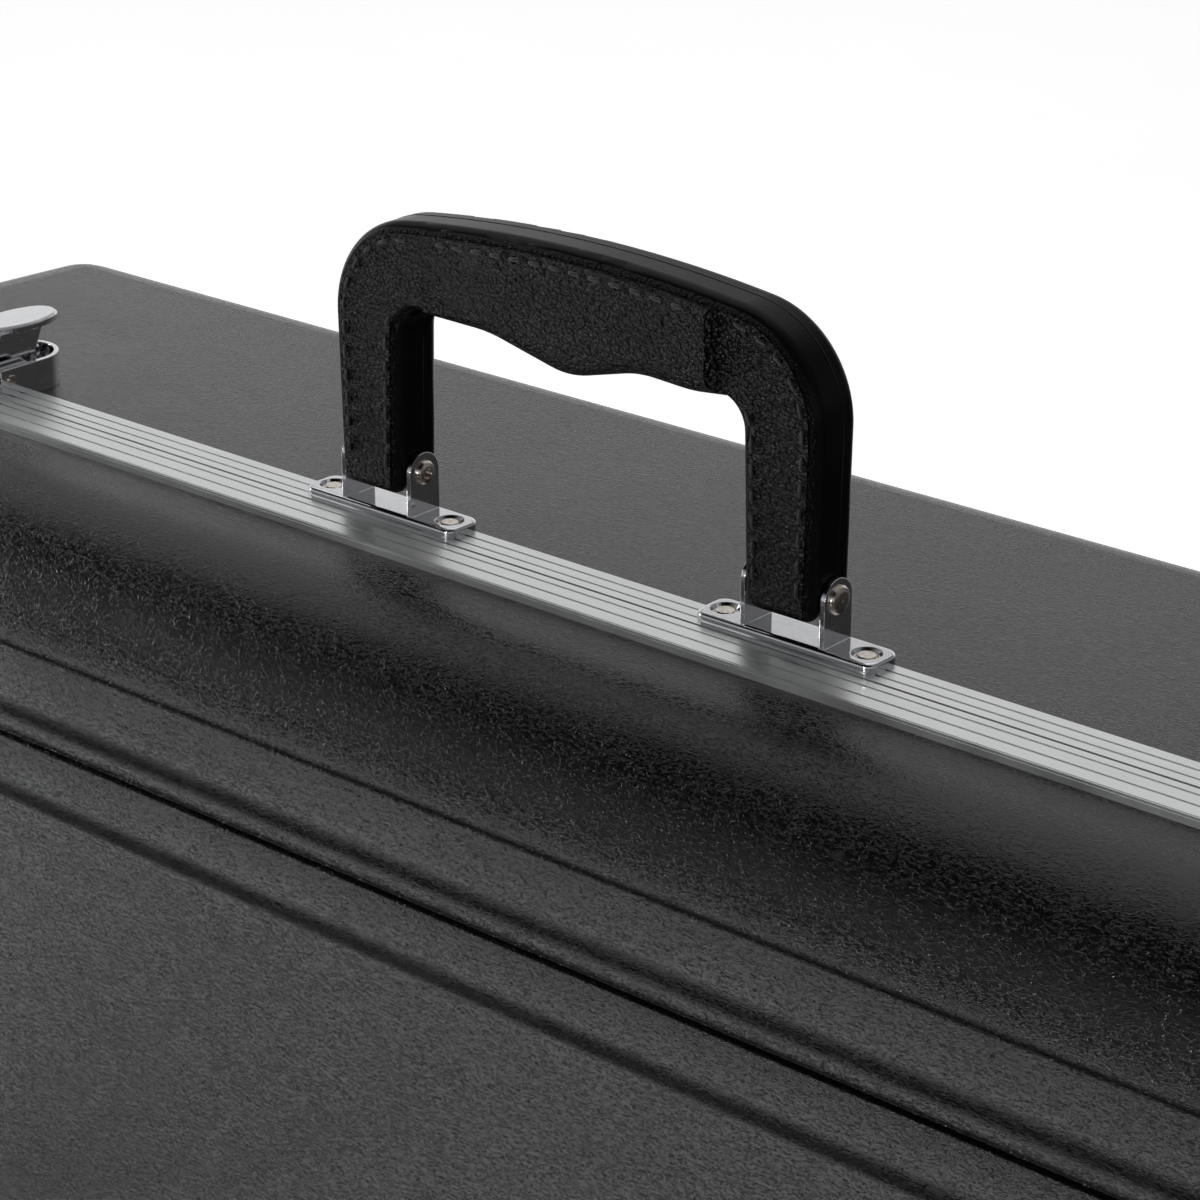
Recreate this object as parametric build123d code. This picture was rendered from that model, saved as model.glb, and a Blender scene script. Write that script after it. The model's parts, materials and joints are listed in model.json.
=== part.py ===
from build123d import *
import math
import os

# Alto saxophone case standing on its hinge side, in millimetres.
# X runs along the length, Y from the lid side to the base side, Z up from the floor.
# While it is built, Y is zero on the parting plane between lid and base.

# Shell sizes
case_length = 620.0
case_height = 290.0
corner_radius = 30.0
foot_height = 10.0
draft = 1.5
wall = 3.0

# Lid depths, measured from the parting plane
lid_depth = 53.5
lid_plane = 51.0
lid_groove_depth = 49.5
lid_inner_rib = 51.3
lid_panel = 47.5
lid_shoulder = 28.0
lid_shell_start = 4.6

# Base depths, measured from the parting plane
base_depth = 122.0
base_plane = 119.5
base_groove_depth = 118.0
base_inner_rib = 119.8
base_panel = 116.0
base_shoulder = 18.0
base_shell_start = 1.5

# Raised ribs of both broad faces: how far each outline lies inside the case outline
outer_rib_inset = 33.0
outer_rib_corner = 29.0
groove_mouth_inset = 45.0
groove_mouth_corner = 27.0
groove_floor_inset = 51.0
inner_rib_inset = 57.0
inner_rib_corner = 21.0
panel_mouth_inset = 70.5
panel_mouth_corner = 19.5
panel_floor_inset = 76.0
outer_cove = 2.3
inner_cove = 1.2
mouth_round = 4.0
floor_round = 3.0

# Aluminium valances round the opening
band_proud = 1.2
band_inner = 4.2
base_band_width = 10.1
lid_band_width = 12.9
parting_gap = 0.2
tongue_length = 2.5
tongue_outer = 1.2
tongue_inner = 2.8
tongue_clearance = 0.6
tongue_end_clearance = 0.6
base_band_grooves = (3.1, 6.6)
lid_band_grooves = (2.9, 7.1, 11.4)
band_groove_width = 0.7
band_groove_depth = 0.45
band_edge_break = 0.3
lip_start = 11.7
lip_proud = 1.6
lip_edge_break = 0.5

# Hinges under the case
hinge_end_distance = 130.0
hinge_length = 60.0
hinge_knuckles = 3
hinge_knuckle_gap = 0.3
hinge_knuckle_radius = 2.6
hinge_pin_radius = 1.2
hinge_pin_clearance = 0.05
hinge_axis_drop = 3.95
hinge_leaf = 1.2
hinge_base_leaf_width = 9.6
hinge_lid_leaf_width = 11.3
hinge_leaf_relief = 3.0
hinge_leaf_corner = 2.5
hinge_leaf_gap = 0.15
hinge_leaf_overlap = 0.5
hinge_pin_end = 0.4
hinge_rivet_spread = 17.0
hinge_base_rivet_line = 6.5
hinge_lid_rivet_line = 7.2

# Rivets: those of the brackets are loose pieces, the others are heads on the piece they hold
rivet_shank = 1.6
rivet_hole = 1.7
rivet_head_radius = 2.7
rivet_head_height = 0.8
rivet_head_taper = 0.7
rivet_tail_radius = 2.4
rivet_tail_height = 0.8

# Feet
foot_end_distance = 80.0
foot_front = 22.0
foot_back = 88.0
foot_top_radius = 11.0
foot_bottom_radius = 9.0
foot_recess_radius = 4.6
foot_recess = 4.5

# Handle brackets
bracket_offset = 60.0
bracket_line = 6.5
plate_length = 48.0
plate_width = 10.9
plate_height = 2.5
plate_wall = 1.2
plate_corner = 3.0
plate_edge_round = 1.0
plate_hole_spread = 19.0
dimple_top_radius = 3.5
dimple_floor_radius = 2.95
dimple_depth = 1.1
tray_pocket_length = 27.0
ear_inner = 10.0
ear_thickness = 1.2
ear_radius = 4.8
ear_sink = 0.4
pin_height = 10.0
pin_radius = 2.0
pin_clearance = 0.05
pin_head_height = 1.2
pin_head_taper = 1.3
flared_head_radius = 2.9
flared_bore_radius = 1.3
flared_bore_depth = 0.9
domed_head_radius = 3.3
pin_end_proud = 0.3
pin_dome = 0.1

# Handle, heights above the bracket plates
leg_bottom = 5.0
leg_outer_bottom = 69.5
leg_outer_top = 70.6
leg_inner_low = 50.8
leg_inner_high = 49.4
opening_top = 51.0
opening_corner = 7.0
opening_drop = 3.0
handle_half = 7.0
handle_crown = 74.5
handle_shoulder = 68.0
handle_corner = 24.6
handle_edge_round = 3.0
leg_end_round = 3.6
rail_thickness = 2.3
grip_left = -41.0
grip_right = 45.0
grip_half = 9.0
grip_gap = 0.1
grip_low_round = 5.0
grip_high_round = 1.9
grip_swell = 22.0
grip_end_round = 3.6
grip_pinch = 6.4
grip_bends = ((-22.0, 50.7, 40.0), (1.5, 45.4, 20.0), (21.0, 50.5, 30.0), (36.0, 49.7, 30.0))
insert_rim = 2.4
insert_inner_rim = 2.2
insert_bottom = 6.4
insert_depth = 1.2
insert_proud = 0.3
insert_gap = 0.05

# Draw latches, heights above the band
latch_end_distance = 105.0
latch_half_width = 10.0
latch_front = 0.6
latch_round_centre = 15.5
latch_wall_height = 7.0
latch_open_front = 2.0
latch_wall = 1.2
latch_floor = 1.2
skirt_gap = 0.15
skirt_depth = 2.4
pivot_y = 4.0
pivot_z = 4.0
pivot_radius = 1.25
pivot_clearance = 0.05
pivot_head = 0.4
lever_half_width = 5.6
lever_wall = 1.2
lever_pivot_round = 2.6
lever_link_round = 2.0
lever_top = 14.5
cheek_inset = 1.5
cheek_end = 19.0
cheek_rise = 0.5
paddle_thickness = 2.0
paddle_start = 3.3
paddle_end = 27.3
paddle_half_width = 6.8
paddle_end_radius = 5.2
paddle_edge_break = 0.6
link_y = 12.0
link_z = 3.5
link_radius = 1.0
link_clearance = 0.05
loop_inner = 7.3
loop_outer = 8.5
loop_arm_low = 6.2
loop_arm_high = 8.6
loop_arm_half = 1.4
loop_bend_high = 8.5
loop_bend_low = 7.2
loop_arm_reach = 1.5
loop_round = 1.0
loop_plate_start = -5.0
loop_plate_end = -11.5
loop_plate_thickness = 1.2
loop_lip_low = 3.4
catch_half_width = 12.0
catch_start = 2.4
catch_end = 11.3
catch_thickness = 1.2
catch_corner = 2.0
catch_hook_half_width = 6.5
catch_hook_start = 6.0
catch_hook_end = 8.5
catch_hook_height = 3.0
catch_hook_break = 0.6
catch_rivet_spread = 9.4
catch_rivet_line = 6.9
latch_rivet_lines = (8.0, 19.0)

# Padded interior
lining_side_gap = 0.7
lining_front = 10.0
lining_gap = 0.3
floor_pad_thickness = 12.4
side_pad = 12.0
neck_block_length = 80.5
neck_block_rise = 145.5
neck_pocket_length = 100.0
neck_pocket_width = 45.0
neck_pocket_depth = 60.0
box_length = 240.5
box_wall = 10.0
box_floor = 12.0
box_corner = 14.0
brace_length = 140.0
brace_height = 55.5
brace_front = 30.0
brace_scoop_radius = 85.0
brace_scoop_drop = 65.0
brace_scoop_offset = 45.0
saddle_start = 40.0
saddle_end = 90.0
saddle_low = -10.0
saddle_height = 40.0
saddle_front = 60.0
saddle_scoop_radius = 26.0
saddle_scoop_front = 46.0
lid_pad_thickness = 13.0

# Places that follow from the sizes above
shell_top = foot_height + case_height
mid_height = foot_height + case_height / 2
band_top = shell_top + band_proud
band_bottom = foot_height - band_proud
plate_top = band_top + plate_height
hinge_axis = foot_height - hinge_axis_drop
hinge_leaf_low = band_bottom - hinge_leaf
hinge_offset = case_length / 2 - hinge_end_distance
foot_offset = case_length / 2 - foot_end_distance
latch_offset = case_length / 2 - latch_end_distance
insert_face = handle_half + insert_proud
parting_y = (lid_depth - base_depth) / 2
draft_slope = math.tan(math.radians(draft))
lining_inset = wall + base_panel * draft_slope + lining_side_gap
lining_half_length = case_length / 2 - lining_inset
lining_half_height = case_height / 2 - lining_inset
lining_corner = corner_radius - lining_inset
pad_inset = wall + lining_side_gap
lining_back = base_panel - wall - floor_pad_thickness - 2 * lining_gap
neck_block_end = -lining_half_length + neck_block_length
neck_block_top = -lining_half_height + neck_block_rise
box_end = -lining_half_length + box_length
near = 0.02
overlap = 1.0

UP = (Align.CENTER, Align.CENTER, Align.MIN)
DOWN = (Align.CENTER, Align.CENTER, Align.MAX)
EACH_SIDE = (-1, 1)


def on_base(shape):
    return Pos(0, 0, mid_height) * Rot(-90, 0, 0) * shape


def on_lid(shape):
    return Pos(0, 0, mid_height) * Rot(90, 0, 0) * shape


def along_x(radius, start, end, y, z):
    rod = Cylinder(radius, end - start, align=UP)
    return Pos(start, y, z) * Rot(0, 90, 0) * rod


def block(x0, x1, y0, y1, z0, z1):
    centre = Pos((x0 + x1) / 2, (y0 + y1) / 2, (z0 + z1) / 2)
    return centre * Box(abs(x1 - x0), abs(y1 - y0), abs(z1 - z0))


def upright_hole(radius, x, y, low, high):
    return Pos(x, y, low) * Cylinder(radius, high - low, align=UP)


def outline(inset, radius):
    return RectangleRounded(case_length - 2 * inset, case_height - 2 * inset, radius)


def rim_outline(inset):
    return outline(inset, corner_radius - inset)


def at_depth(depth, sketch):
    return Plane.XY.offset(depth) * sketch


def ring(outer, inner, start, end):
    band = rim_outline(-outer) - rim_outline(-inner)
    return extrude(at_depth(start, band), end - start)


def edges_on(shape, depth, inset, radius):
    found = []
    for edge in shape.edges():
        point = edge @ 0.5
        if abs(point.Z - depth) > near:
            continue
        dx = abs(point.X) - (case_length / 2 - inset - radius)
        dy = abs(point.Y) - (case_height / 2 - inset - radius)
        reach = math.hypot(max(dx, 0), max(dy, 0)) + min(max(dx, dy), 0)
        if abs(reach - radius) < near:
            found.append(edge)
    return found


def tub(inset, start, depth):
    lean = start * draft_slope
    return extrude(at_depth(start, rim_outline(inset + lean)), depth - start, taper=draft)


def round_tub(inset, start, depth, edge_radius):
    solid = tub(inset, start, depth)
    return fillet(solid.edges().group_by(Axis.Z)[-1], edge_radius)


def bevel_tub(inset, start, depth, outer_radius):
    solid = tub(inset, start, depth)
    return chamfer(solid.edges().group_by(Axis.Z)[-1], (2 - math.sqrt(2)) * (outer_radius - inset))


def pocket(mouth, floor, mouth_inset, mouth_corner, floor_inset):
    plane = Plane(origin=(0, 0, mouth), z_dir=(0, 0, -1))
    lean = math.degrees(math.atan2(floor_inset - mouth_inset, mouth - floor))
    return extrude(plane * outline(mouth_inset, mouth_corner), mouth - floor, taper=lean)


def ribbed_half(start, plane, rib, groove, inner_rib, panel, shoulder):
    body = round_tub(0, start, plane, shoulder)
    ribbed = outline(outer_rib_inset, outer_rib_corner)
    body += extrude(at_depth(plane - overlap, ribbed), rib - plane + overlap)
    body -= pocket(rib, groove, groove_mouth_inset, groove_mouth_corner, groove_floor_inset)
    raised = outline(inner_rib_inset, inner_rib_corner)
    body += extrude(at_depth(groove - overlap, raised), inner_rib - groove + overlap)
    return body - pocket(inner_rib, panel, panel_mouth_inset, panel_mouth_corner, panel_floor_inset)


def base_half():
    body = ribbed_half(base_shell_start, base_plane, base_depth, base_groove_depth,
                       base_inner_rib, base_panel, base_shoulder)
    body = chamfer(edges_on(body, base_plane, outer_rib_inset, outer_rib_corner), outer_cove)
    return body - bevel_tub(wall, base_shell_start - overlap, base_panel - wall, base_shoulder)


def lid_half():
    body = ribbed_half(lid_shell_start, lid_plane, lid_depth, lid_groove_depth,
                       lid_inner_rib, lid_panel, lid_shoulder)
    groove_floor_corner = groove_mouth_corner - (groove_floor_inset - groove_mouth_inset)
    panel_floor_corner = panel_mouth_corner - (panel_floor_inset - panel_mouth_inset)
    body = fillet(edges_on(body, lid_plane, outer_rib_inset, outer_rib_corner), outer_cove)
    body = fillet(edges_on(body, lid_depth, groove_mouth_inset, groove_mouth_corner), mouth_round)
    body = fillet(edges_on(body, lid_groove_depth, groove_floor_inset, groove_floor_corner), floor_round)
    body = fillet(edges_on(body, lid_groove_depth, inner_rib_inset, inner_rib_corner), inner_cove)
    body = fillet(edges_on(body, lid_inner_rib, panel_mouth_inset, panel_mouth_corner), mouth_round)
    body = fillet(edges_on(body, lid_panel, panel_floor_inset, panel_floor_corner), floor_round)
    return body - bevel_tub(wall, lid_shell_start - overlap, lid_panel - wall, lid_shoulder)


def band_grooves(places):
    cuts = []
    for place in places:
        start = place - band_groove_width / 2
        cuts.append(ring(band_proud + 0.1, band_proud - band_groove_depth, start, start + band_groove_width))
    return cuts


def base_band(shell):
    body = ring(band_proud, -band_inner, 0, base_band_width)
    for depth in (0, base_band_width):
        body = chamfer(edges_on(body, depth, -band_proud, corner_radius + band_proud), band_edge_break)
    body += ring(-tongue_outer, -tongue_inner, -tongue_length, overlap)
    return body - band_grooves(base_band_grooves) - shell


def lid_band(shell):
    body = ring(band_proud, -band_inner, parting_gap, lid_band_width)
    body = chamfer(edges_on(body, parting_gap, -band_proud, corner_radius + band_proud), band_edge_break)
    lip = ring(lip_proud, 0.5, lip_start, lid_band_width)
    for depth in (lip_start, lid_band_width):
        lip = chamfer(edges_on(lip, depth, -lip_proud, corner_radius + lip_proud), lip_edge_break)
    body += lip
    groove_end = tongue_length + tongue_end_clearance + parting_gap
    groove_outer = -tongue_outer + tongue_clearance
    groove_inner = -tongue_inner - tongue_clearance
    body -= ring(groove_outer, groove_inner, 0, groove_end)
    return body - band_grooves(lid_band_grooves) - shell


def rivet_head():
    return Cone(rivet_head_radius, rivet_head_radius - rivet_head_taper, rivet_head_height, align=UP)


def bracket_rivet(x, y):
    grip = plate_height - dimple_depth + band_proud + band_inner
    shank = Cylinder(rivet_shank, grip, align=DOWN)
    tail = Pos(0, 0, -grip) * Cylinder(rivet_tail_radius, rivet_tail_height, align=DOWN)
    return Pos(x, y, plate_top - dimple_depth) * (rivet_head() + shank + tail)


def with_heads(shape, places, height, turned=False):
    turn = Rot(180, 0, 0) if turned else Rot(0, 0, 0)
    return shape + [Pos(x, y, height) * turn * rivet_head() for x, y in places]


def bracket_rivet_places():
    spots = []
    for side in EACH_SIDE:
        for end in EACH_SIDE:
            spots.append((side * bracket_offset + end * plate_hole_spread, bracket_line))
    return spots


def latch_rivet_places(side):
    return [(side * latch_offset, line) for line in latch_rivet_lines]


def catch_rivet_places(side):
    return [(side * latch_offset + end * catch_rivet_spread, -catch_rivet_line) for end in EACH_SIDE]


def hinge_rivet_places(side, line):
    return [(side * hinge_offset + end * hinge_rivet_spread, line) for end in EACH_SIDE]


def foot_places():
    return [(side * foot_offset, line) for side in EACH_SIDE for line in (foot_front, foot_back)]


def drill(shape, places, low, high, radius):
    return shape - [upright_hole(radius, x, y, low, high) for x, y in places]


def hinge_leaf_plate(side, on_lid_side):
    start = side * hinge_offset - hinge_length / 2
    step = hinge_length / hinge_knuckles
    direction = -1 if on_lid_side else 1
    width = hinge_lid_leaf_width if on_lid_side else hinge_base_leaf_width
    relief = direction * hinge_leaf_relief
    leaf = block(start, start + hinge_length, relief, direction * width, hinge_leaf_low, band_bottom)
    corners = leaf.edges().filter_by(Axis.Z).group_by(Axis.Y)[0 if on_lid_side else -1]
    leaf = fillet(corners, hinge_leaf_corner)
    for number in range(hinge_knuckles):
        if (number % 2 == 1) != on_lid_side:
            continue
        x0 = start + number * step + hinge_knuckle_gap / 2
        x1 = start + (number + 1) * step - hinge_knuckle_gap / 2
        inner = relief + direction * hinge_leaf_overlap
        leaf += block(x0, x1, 0, inner, hinge_leaf_low, band_bottom - hinge_leaf_gap)
        leaf += along_x(hinge_knuckle_radius, x0, x1, 0, hinge_axis)
    bore_radius = hinge_pin_radius + hinge_pin_clearance
    bore = along_x(bore_radius, start - overlap, start + hinge_length + overlap, 0, hinge_axis)
    line = -hinge_lid_rivet_line if on_lid_side else hinge_base_rivet_line
    return with_heads(leaf - bore, hinge_rivet_places(side, line), hinge_leaf_low, turned=True)


def hinge_pin(side):
    start = side * hinge_offset - hinge_length / 2
    end = start + hinge_length + hinge_pin_end
    return along_x(hinge_pin_radius, start - hinge_pin_end, end, 0, hinge_axis)


def foot(x, y, shell):
    height = foot_height + (y + foot_top_radius) * draft_slope + wall / 4
    cone = Cone(foot_bottom_radius, foot_top_radius, height, align=UP)
    cone -= Cylinder(foot_recess_radius, foot_recess, align=UP)
    return Pos(x, y, 0) * cone - shell


def bracket(side):
    plan = RectangleRounded(plate_length, plate_width, plate_corner)
    tray = Pos(0, 0, -plate_height) * extrude(plan, plate_height)
    tray = fillet(tray.edges().group_by(Axis.Z)[-1], plate_edge_round)
    hollow = Box(tray_pocket_length, plate_width - 2 * plate_wall, plate_height - plate_wall, align=UP)
    tray -= Pos(0, 0, -plate_height) * hollow
    for end in EACH_SIDE:
        tray += Pos(end * (ear_inner + ear_thickness / 2), 0, 0) * ear_plate()
        dimple = Cone(dimple_floor_radius, dimple_top_radius, dimple_depth, align=DOWN)
        tray -= Pos(end * plate_hole_spread, 0, 0) * dimple
        tray -= Pos(end * plate_hole_spread, 0, 0) * Cylinder(rivet_hole, 3 * plate_height)
    return Pos(side * bracket_offset, bracket_line, plate_top) * tray


def ear_plate():
    face = Pos(0, (pin_height - ear_sink) / 2) * Rectangle(2 * ear_radius, pin_height + ear_sink)
    face += Pos(0, pin_height) * Circle(ear_radius)
    face -= Pos(0, pin_height) * Circle(pin_radius)
    return Plane.YZ * extrude(face, ear_thickness / 2, both=True)


def handle_pin(side):
    start = ear_inner + ear_thickness
    top = start + pin_head_height
    radius = flared_head_radius if side < 0 else domed_head_radius
    points = [(0, -start - pin_end_proud), (pin_radius, -start - pin_end_proud), (pin_radius, start)]
    points += [(radius, start), (radius, start + pin_head_height / 3)]
    points += [(radius - pin_head_taper / 3, start + 0.8 * pin_head_height), (radius - pin_head_taper, top)]
    if side < 0:
        points += [(flared_bore_radius, top), (flared_bore_radius, top - flared_bore_depth)]
        points += [(0, top - flared_bore_depth)]
    else:
        points += [(0, top + pin_dome)]
    profile = Plane.XZ * make_face(Polyline(*points, close=True))
    pin = revolve(profile, Axis.Z)
    return Pos(side * bracket_offset, bracket_line, plate_top + pin_height) * Rot(0, 90, 0) * pin


def handle_face():
    left = (-leg_outer_bottom, leg_bottom)
    right = (leg_outer_bottom, leg_bottom)
    top_left = (-leg_outer_top, handle_shoulder)
    top_right = (leg_outer_top, handle_shoulder)
    crown = ThreePointArc(top_left, (0, handle_crown), top_right)
    edges = [Line(left, top_left), crown, Line(top_right, right), Line(right, left)]
    face = make_face(edges)
    return fillet(face.vertices().group_by(Axis.Y)[-1], handle_corner)


def finger_opening():
    low = leg_bottom - opening_drop
    left = [(-leg_inner_low, low), (-leg_inner_high, opening_top)]
    right = [(leg_inner_high, opening_top), (leg_inner_low, low)]
    face = make_face(Polyline(*left, *right, close=True))
    return fillet(face.vertices().group_by(Axis.Y)[-1], opening_corner)


def below_grip():
    start = grip_left - opening_drop
    end = grip_right + opening_drop
    low = leg_bottom - opening_drop
    bends = [(x, z) for x, z, radius in grip_bends]
    corners = [(start, low), (start, opening_top)] + bends + [(end, opening_top), (end, low)]
    face = make_face(Polyline(*corners, close=True))
    for x, z, radius in grip_bends:
        corner = face.vertices().sort_by_distance((x, z, 0))[0]
        face = fillet(corner, radius)
    return face


def grip_zone(gap):
    width = grip_right - grip_left - 2 * gap
    zone = Pos((grip_left + grip_right) / 2, handle_crown) * Rectangle(width, handle_crown)
    return offset(handle_face(), -rail_thickness - gap) & zone


def grip_plan():
    left = grip_left
    right = grip_right
    swell = Spline((left, insert_face), (left + grip_swell, grip_half), tangents=((1, 0.15), (1, 0)))
    top = Line((left + grip_swell, grip_half), (right - grip_end_round, grip_half))
    turn = SagittaArc((right - grip_end_round, grip_half), (right, grip_pinch), -grip_end_round / 5)
    half = [Line((left, 0), (left, insert_face)), swell, top, turn, Line((right, grip_pinch), (right, 0))]
    face = make_face(half + [Line((right, 0), (left, 0))])
    return face + mirror(face, Plane.XZ)


def insert_zones():
    inner = offset(handle_face(), -insert_rim) - offset(finger_opening(), insert_inner_rim)
    height = handle_crown - insert_bottom
    parts = []
    for start, end in ((-leg_outer_top, grip_left), (grip_right, leg_outer_top)):
        centre = Pos((start + end) / 2, insert_bottom + height / 2)
        parts.append(inner & centre * Rectangle(end - start, height))
    return parts


def place_handle(shape):
    return Pos(0, bracket_line, plate_top) * Rot(90, 0, 0) * shape


def handle_body():
    face = handle_face() - finger_opening()
    face = fillet(face.vertices().group_by(Axis.Y)[0], leg_end_round)
    body = extrude(face, handle_half, both=True)
    rounded = [edge for edge in body.edges() if on_handle_side(edge)]
    body = fillet(rounded, handle_edge_round)
    body -= extrude(grip_zone(0), grip_half + overlap, both=True)
    for zone in insert_zones():
        for side in EACH_SIDE:
            plane = Plane.XY.offset(side * (handle_half - insert_depth))
            body -= extrude(plane * zone, side * handle_half)
    bore = Rot(0, 90, 0) * Cylinder(pin_radius + pin_clearance, 4 * ear_inner)
    for side in EACH_SIDE:
        body -= Pos(side * bracket_offset, pin_height, 0) * bore
    return place_handle(body)


def on_handle_side(edge):
    point = edge @ 0.5
    return abs(abs(point.Z) - handle_half) < near


def handle_inserts():
    parts = []
    for zone in insert_zones():
        for side in EACH_SIDE:
            plane = Plane.XY.offset(side * (handle_half - insert_depth))
            shrunk = offset(zone, -insert_gap)
            solid = extrude(plane * shrunk, side * (insert_depth + insert_proud))
            parts.append(place_handle(solid))
    return Compound(children=parts)


def handle_grip():
    face = grip_zone(grip_gap) - below_grip()
    grip = extrude(face, grip_half, both=True)
    low = [edge for edge in grip.edges() if on_grip_side(edge, leg_bottom, opening_top + grip_low_round)]
    grip = fillet(low, grip_low_round)
    high = [edge for edge in grip.edges() if on_grip_side(edge, handle_shoulder, handle_crown)]
    grip = fillet(high, grip_high_round)
    plan = Rot(90, 0, 0) * extrude(grip_plan(), -2 * handle_crown)
    return place_handle(grip & plan)


def on_grip_side(edge, low, high):
    point = edge @ 0.5
    inside = grip_left + overlap < point.X < grip_right - overlap
    return inside and low < point.Y < high and abs(abs(point.Z) - grip_half) < near


def boat_face(shrink):
    half = latch_half_width - shrink
    front = latch_front if shrink == 0 else latch_front - latch_open_front
    length = latch_round_centre - front
    face = Pos(0, front + length / 2) * Rectangle(2 * half, length)
    return face + Pos(0, latch_round_centre) * Circle(half)


def latch_base(side, shell):
    body = extrude(boat_face(0), latch_wall_height)
    behind_band = base_band_width + skirt_gap + latch_round_centre
    skirt = boat_face(0) & Pos(0, behind_band) * Rectangle(4 * latch_half_width, 2 * latch_round_centre)
    body += Pos(0, 0, -skirt_depth) * extrude(skirt, skirt_depth + latch_floor / 2)
    body -= Pos(0, 0, latch_floor) * extrude(boat_face(latch_wall), latch_wall_height)
    body -= along_x(pivot_radius, -2 * latch_half_width, 2 * latch_half_width, pivot_y, pivot_z)
    body = Pos(side * latch_offset, 0, band_top) * body
    return with_heads(body - shell, latch_rivet_places(side), band_top + latch_floor)


def pivot_pin(side):
    reach = latch_half_width + pivot_head
    rod = along_x(pivot_radius, -reach, reach, pivot_y, pivot_z)
    return Pos(side * latch_offset, 0, band_top) * rod


def lever_cheek():
    face = Pos(pivot_y, pivot_z) * Circle(lever_pivot_round)
    face += Pos(link_y, link_z) * Circle(lever_link_round)
    web = make_face(Polyline(
        (pivot_y - lever_pivot_round, pivot_z), (pivot_y, pivot_z - lever_pivot_round),
        (link_y, link_z - lever_link_round), (link_y + lever_link_round, link_z),
        (cheek_end, lever_top + cheek_rise), (paddle_start + cheek_inset, lever_top + cheek_rise),
        close=True))
    face += web
    face -= Pos(pivot_y, pivot_z) * Circle(pivot_radius + pivot_clearance)
    face -= Pos(link_y, link_z) * Circle(link_radius)
    return Plane.YZ * extrude(face, lever_wall)


def paddle_face():
    half_length = (paddle_end - paddle_start) / 2
    reach = half_length - paddle_end_radius
    rise = reach ** 2 + paddle_half_width ** 2 - paddle_end_radius ** 2
    side_radius = rise / (2 * (paddle_half_width - paddle_end_radius))
    shift = side_radius - paddle_half_width
    lens = Pos(shift, 0) * Circle(side_radius) & Pos(-shift, 0) * Circle(side_radius)
    return fillet(lens.vertices(), paddle_end_radius)


def latch_lever(side):
    paddle = extrude(paddle_face(), paddle_thickness)
    paddle = chamfer(paddle.edges().group_by(Axis.Z)[-1], paddle_edge_break)
    body = Pos(0, (paddle_start + paddle_end) / 2, lever_top) * paddle
    body += Pos(-lever_half_width, 0, 0) * lever_cheek()
    body += Pos(lever_half_width - lever_wall, 0, 0) * lever_cheek()
    return Pos(side * latch_offset, 0, band_top) * body


def link_pin(side):
    rod = along_x(link_radius, -loop_outer, loop_outer, link_y, link_z)
    return Pos(side * latch_offset, 0, band_top) * rod


def loop_arm():
    face = Pos(link_y, link_z) * Circle(lever_link_round)
    end = loop_plate_start - loop_arm_reach
    face += make_face(Polyline(
        (link_y - loop_arm_half, link_z - loop_arm_half), (link_y + loop_arm_half, link_z + loop_arm_half),
        (loop_bend_high, loop_arm_high), (end, loop_arm_high), (end, loop_arm_low),
        (loop_bend_low, loop_arm_low), close=True))
    face -= Pos(link_y, link_z) * Circle(link_radius + link_clearance)
    return Plane.YZ * extrude(face, loop_outer - loop_inner)


def latch_loop(side):
    body = Pos(-loop_outer, 0, 0) * loop_arm()
    body += Pos(loop_inner, 0, 0) * loop_arm()
    high = loop_arm_low + loop_plate_thickness
    plate = block(-loop_outer, loop_outer, loop_plate_start, loop_plate_end, loop_arm_low, high)
    lip_start = loop_plate_end + loop_plate_thickness
    lip = block(-loop_outer, loop_outer, lip_start, loop_plate_end, loop_lip_low, high)
    plate += lip
    outer = plate.edges().filter_by(Axis.X).group_by(Axis.Y)[0].group_by(Axis.Z)[-1]
    plate = fillet(outer, loop_round)
    body += plate
    return Pos(side * latch_offset, 0, band_top) * body


def catch(side):
    plate = block(-catch_half_width, catch_half_width, -catch_start, -catch_end, 0, catch_thickness)
    plate = fillet(plate.edges().filter_by(Axis.Z), catch_corner)
    hook = block(-catch_hook_half_width, catch_hook_half_width, -catch_hook_start, -catch_hook_end,
                 0, catch_hook_height)
    plate += chamfer(hook.edges().group_by(Axis.Z)[-1], catch_hook_break)
    plate = Pos(side * latch_offset, 0, band_top) * plate
    return with_heads(plate, catch_rivet_places(side), band_top + catch_thickness)


def lining_plan(depth_from, depth_to):
    plan = RectangleRounded(2 * lining_half_length, 2 * lining_half_height, lining_corner)
    return on_base(extrude(at_depth(depth_from, plan), depth_to - depth_from))


def pad_block(x0, x1, front, z0, z1):
    plan = block(x0, x1, front, lining_back, mid_height + z0, mid_height + z1)
    return plan & lining_plan(front, lining_back)


def floor_pad():
    back = base_panel - wall - lining_gap
    body = bevel_tub(pad_inset, base_shell_start, back, base_shoulder)
    keep = Box(case_length, case_height, floor_pad_thickness, align=UP)
    return on_base(body & Pos(0, 0, back - floor_pad_thickness) * keep)


def hinge_side_pad():
    low = -lining_half_height
    return pad_block(neck_block_end + lining_gap, lining_half_length, lining_front, low, low + side_pad)


def handle_side_pad():
    high = lining_half_height
    return pad_block(box_end + lining_gap, lining_half_length, lining_front, high - side_pad, high)


def bow_end_pad():
    reach = lining_half_height - side_pad - lining_gap
    return pad_block(lining_half_length - side_pad, lining_half_length, lining_front, -reach, reach)


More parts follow.
